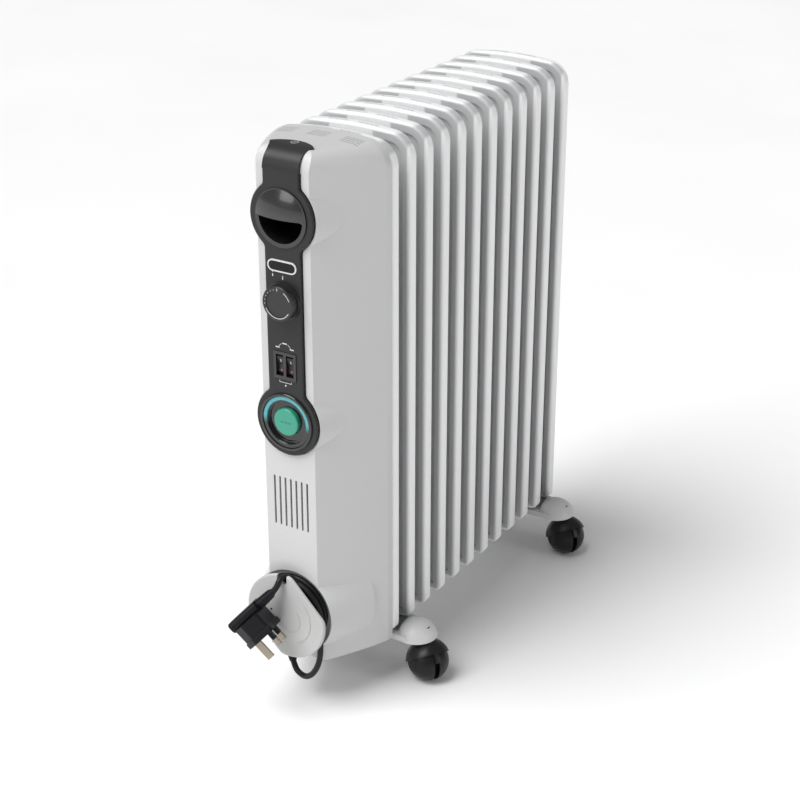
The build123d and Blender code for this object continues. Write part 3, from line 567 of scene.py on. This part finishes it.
def addArc(bm, centre, inner, outer, start, end, thickness):
    # a flat arc facing forward, from start to end degrees, anticlockwise from +X
    first = math.radians(start)
    way = Vector((math.cos(first), 0.0, math.sin(first)))
    corners = []
    for radius in (inner, outer):
        for depth in (-thickness / 2, thickness / 2):
            corners.append(bm.verts.new(Vector(centre) + way * radius + Vector((0.0, depth, 0.0))))
    face = bm.faces.new([corners[0], corners[1], corners[3], corners[2]])
    full = abs(end - start) >= 360
    steps = max(6, round(abs(end - start) / 6))
    bmesh.ops.spin(
        bm, geom=[face, *face.edges, *face.verts], cent=centre, axis=(0.0, -1.0, 0.0),
        angle=math.radians(end - start), steps=steps, use_merge=full, use_duplicate=False,
    )


def addMarks(bm, marks, centre, y, thick):
    # bars, arcs and dots, each placed by X and height from the centre
    for (x, up), (wide, high) in marks["bars"]:
        addBar(bm, (centre.x + x, y, centre.z + up), (wide, thick, high))
    for (x, up), (inner, outer), (start, end) in marks["arcs"]:
        addArc(bm, (centre.x + x, y, centre.z + up), inner, outer, start, end, thick)
    for (x, up), radius in marks["dots"]:
        addDot(bm, (centre.x + x, y, centre.z + up), radius, thick)


# marks on the panel, sizes in metres and arcs in degrees
panelPrint = {
    "thick": 0.00016,
    "faceProud": 0.0040,
    "nearKnob": {
        "bars": [
            ((0.0, 0.0255), (0.0011, 0.0042)),
            ((-0.0125, 0.0313), (0.0011, 0.0030)),
            ((-0.0125, 0.0267), (0.0011, 0.0030)),
        ],
        "arcs": [((-0.0125, 0.0350), (0.0008, 0.0015), (0, 360))],
        "dots": [],
    },
    "nearSwitch": {
        "bars": [
            ((-0.0090, 0.0200), (0.0050, 0.0012)),
            ((0.0090, 0.0200), (0.0050, 0.0012)),
            ((0.0, 0.0252), (0.0058, 0.0013)),
            ((0.0, -0.0195), (0.0150, 0.0005)),
            ((-0.0075, -0.0184), (0.0005, 0.0022)),
            ((0.0075, -0.0184), (0.0005, 0.0022)),
        ],
        "arcs": [
            ((0.0, 0.0170), (0.0082, 0.0087), (28, 62)),
            ((0.0, 0.0170), (0.0082, 0.0087), (118, 152)),
        ],
        "dots": [((0.0, -0.0227), 0.0010)],
    },
}


def makePanelPrint(setup):
    bm = bmesh.new()
    y = housingFront - setup["faceProud"]
    knob, switch = middle("thermostat_knob"), middle("switch_bezel")
    addMarks(bm, setup["nearKnob"], Vector((0.0, 0.0, knob.z)), y, setup["thick"])
    addMarks(bm, setup["nearSwitch"], Vector((0.0, 0.0, switch.z)), y, setup["thick"])
    finishMesh(bm, "panelPrint", "printWhite", "heater")


knobPrint = {
    "thick": 0.00016,
    "marks": {
        "bars": [((0.0, 0.0158), (0.0010, 0.0030))],
        "arcs": [((0.0, 0.0), (0.0154, 0.0161), (205, 330)), ((0.0, 0.0), (0.0154, 0.0161), (20, 60))],
        "dots": [],
    },
    "dotCount": 7,
    "dotStart": 90,
    "dotStep": 16,
    "dotReach": 0.0157,
    "dotRadius": 0.00045,
}


def makeKnobPrint(setup):
    bm = bmesh.new()
    centre = middle("thermostat_knob")
    centre.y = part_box("thermostat_knob")[0].y
    addMarks(bm, setup["marks"], centre, centre.y, setup["thick"])
    for step in range(setup["dotCount"]):
        angle = math.radians(setup["dotStart"] + setup["dotStep"] * step)
        spot = centre + Vector((math.cos(angle), 0.0, math.sin(angle))) * setup["dotReach"]
        addDot(bm, spot, setup["dotRadius"], setup["thick"])
    finishMesh(bm, "knobPrint", "printWhite", "thermostat")


# a tick on each rocker's upper half and a dot on its lower half, whose faces rise towards the ends
rockerPrint = {
    "thick": 0.0002,
    "pivotDepth": 0.0040,
    "restTilt": 8,
    "faceLean": 10.1,
    "faceDepth": 0.0051,
    "faceRise": 0.0015,
    "faceHalf": 0.0084,
    "tickUp": 0.0052,
    "tick": (0.0010, 0.0034),
    "dotUp": -0.0060,
    "dotRadius": 0.0011,
}


def makeRockerPrint(name, body, setup):
    pivot = Vector((middle(body).x, housingFront + setup["pivotDepth"], middle("switch_bezel").z))
    tilt = Matrix.Translation(pivot) @ Matrix.Rotation(math.radians(setup["restTilt"]), 4, "X")

    def onFace(up):
        lean = math.radians(math.copysign(setup["faceLean"], up))
        depth = -setup["faceDepth"] - setup["faceRise"] * abs(up) / setup["faceHalf"]
        return tilt @ Matrix.Translation((0.0, depth, up)) @ Matrix.Rotation(lean, 4, "X")

    bm = bmesh.new()
    addBar(bm, (0.0, 0.0, 0.0), (setup["tick"][0], setup["thick"], setup["tick"][1]))
    bmesh.ops.transform(bm, matrix=onFace(setup["tickUp"]), verts=bm.verts)
    finishMesh(bm, name + "Tick", "printWhite", body)
    bm = bmesh.new()
    addDot(bm, (0.0, 0.0, 0.0), setup["dotRadius"], setup["thick"])
    bmesh.ops.transform(bm, matrix=onFace(setup["dotUp"]), verts=bm.verts)
    finishMesh(bm, name + "Dot", "printRed", body)


# the dark field inside the badge's raised border
badgeField = {
    "border": 0.0016,
    "sunk": 0.0003,
    "thick": 0.0004,
    "roundShare": 0.499,
}


def makeBadgeField(setup):
    low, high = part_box("badge")
    tall = high.z - low.z - 2 * setup["border"]
    wide = high.x - low.x - 2 * setup["border"]
    bm = bmesh.new()
    addBar(bm, (0.0, low.y + setup["sunk"], (low.z + high.z) / 2), (wide, setup["thick"], tall))
    corners = [edge for edge in bm.edges if abs(edge.verts[0].co.y - edge.verts[1].co.y) > setup["thick"] / 2]
    bmesh.ops.bevel(
        bm, geom=corners, offset=tall * setup["roundShare"], affect="EDGES",
        segments=10, profile=0.5, material=-1,
    )
    finishMesh(bm, "badgeField", "cordBlack", "heater")


# three plain bars in place of words
buttonPrint = {
    "pitch": 0.0048,
    "bar": (0.0034, 0.00016, 0.0014),
}


def makeButtonPrint(setup):
    centre = middle("comfort_button")
    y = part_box("comfort_button")[0].y
    bm = bmesh.new()
    for step in (-1, 0, 1):
        addBar(bm, (centre.x + setup["pitch"] * step, y, centre.z), setup["bar"])
    finishMesh(bm, "buttonPrint", "printGreen", "comfort_button")


# a plain ring with a short stroke on top of the panel's tongue
tongueSymbol = {
    "depth": 0.0235,
    "ring": (0.0037, 0.0042),
    "stroke": (0.0006, 0.0002, 0.0040),
    "strokeTurn": 35,
}


def makeTongueSymbol(setup):
    bm = bmesh.new()
    addArc(bm, (0.0, 0.0, 0.0), *setup["ring"], 0, 360, setup["stroke"][1])
    addBar(bm, (0.0, 0.0, 0.0), setup["stroke"], math.radians(setup["strokeTurn"]))
    place = Matrix.Translation((0.0, housingFront + setup["depth"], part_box("control_panel")[1].z))
    bmesh.ops.transform(bm, matrix=place @ Matrix.Rotation(-math.pi / 2, 4, "X"), verts=bm.verts)
    finishMesh(bm, "tongueSymbol", "printWhite", "heater")


# faint raised arcs on the storage disc, and a small flat dark dot of painted shade in place of a hole
discMarks = {
    "lines": {
        "bars": [],
        "arcs": [
            ((0.0, 0.0), (0.0330, 0.0338), (-62, 48)),
            ((0.0020, -0.0010), (0.0170, 0.0178), (-80, 40)),
            ((0.0, 0.0), (0.0330, 0.0338), (122, 205)),
        ],
        "dots": [],
    },
    "lineThick": 0.0010,
    "hole": (-0.0190, 0.0040),
    "holeRadius": 0.0013,
    "holeThick": 0.0004,
}


def makeDiscLines(setup):
    bm = bmesh.new()
    centre = Vector((0.0, 0.0, reelCentre.z))
    addMarks(bm, setup["lines"], centre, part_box("reel_disc")[0].y, setup["lineThick"])
    finishMesh(bm, "discLines", "discWhite", "heater")


# painted shade: a flat dark dot on the disc's face in place of a real hole
def makeDiscHoleShade(setup):
    bm = bmesh.new()
    x, up = setup["hole"]
    spot = (x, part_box("reel_disc")[0].y, reelCentre.z + up)
    addDot(bm, spot, setup["holeRadius"], setup["holeThick"])
    finishMesh(bm, "discHoleShade", "hoodBlack", "heater")


makePanelPrint(panelPrint)
makeDiscHoleShade(discMarks)
makeKnobPrint(knobPrint)
makeRockerPrint("rockerLeft", "rocker_left", rockerPrint)
makeRockerPrint("rockerRight", "rocker_right", rockerPrint)
makeBadgeField(badgeField)
makeButtonPrint(buttonPrint)
makeTongueSymbol(tongueSymbol)
makeDiscLines(discMarks)
print("marks made")

# soft sun, two weak area lights and a white backdrop; lengths in metres
studio = {
    "floorSize": 16.0,
    "worldStrength": 0.28,
    "backdropStrength": 1.0,
    "sunWay": (-0.30, -0.42, 0.86),
    "sunStrength": 2.85,
    "sunAngle": 40.0,
    "lights": [
        {
            "name": "frontLight", "place": (-0.9, -2.6, 1.5), "aim": (0.0, -0.2, 0.35),
            "size": (1.0, 1.4), "power": 14.0,
        },
        {
            "name": "sideLight", "place": (2.9, 0.3, 1.0), "aim": (0.0, 0.0, 0.35),
            "size": (0.6, 1.8), "power": 12.0,
        },
    ],
}


def makeStudio(setup):
    bm = bmesh.new()
    bmesh.ops.create_grid(bm, x_segments=1, y_segments=1, size=setup["floorSize"] / 2)
    mesh = bpy.data.meshes.new("studioFloor")
    bm.to_mesh(mesh)
    bm.free()
    mesh.materials.append(materials["floorPale"])
    floor = bpy.data.objects.new("studioFloor", mesh)
    scene.collection.objects.link(floor)
    world = bpy.data.worlds.new("studioWorld")
    world.use_nodes = True
    make, link = world.node_tree.nodes.new, world.node_tree.links.new
    glow = world.node_tree.nodes["Background"]
    glow.inputs["Color"].default_value = (1.0, 1.0, 1.0, 1.0)
    glow.inputs["Strength"].default_value = setup["worldStrength"]
    backdrop = make("ShaderNodeBackground")
    backdrop.inputs["Color"].default_value = (1.0, 1.0, 1.0, 1.0)
    backdrop.inputs["Strength"].default_value = setup["backdropStrength"]
    path = make("ShaderNodeLightPath")
    choice = make("ShaderNodeMixShader")
    link(path.outputs["Is Camera Ray"], choice.inputs["Fac"])
    link(glow.outputs["Background"], choice.inputs[1])
    link(backdrop.outputs["Background"], choice.inputs[2])
    link(choice.outputs["Shader"], world.node_tree.nodes["World Output"].inputs["Surface"])
    scene.world = world
    sun = bpy.data.lights.new("softSun", "SUN")
    sun.energy = setup["sunStrength"]
    sun.angle = math.radians(setup["sunAngle"])
    lamp = bpy.data.objects.new("softSun", sun)
    scene.collection.objects.link(lamp)
    lamp.rotation_euler = Vector(setup["sunWay"]).to_track_quat("Z", "Y").to_euler()
    for light in setup["lights"]:
        data = bpy.data.lights.new(light["name"], "AREA")
        data.shape = "RECTANGLE"
        data.size, data.size_y = light["size"]
        data.energy = light["power"]
        lamp = bpy.data.objects.new(light["name"], data)
        scene.collection.objects.link(lamp)
        lamp.location = light["place"]
        way = Vector(light["aim"]) - Vector(light["place"])
        lamp.rotation_euler = way.to_track_quat("-Z", "Y").to_euler()


makeStudio(studio)
scene.view_settings.view_transform = "Standard"
print("studio made")
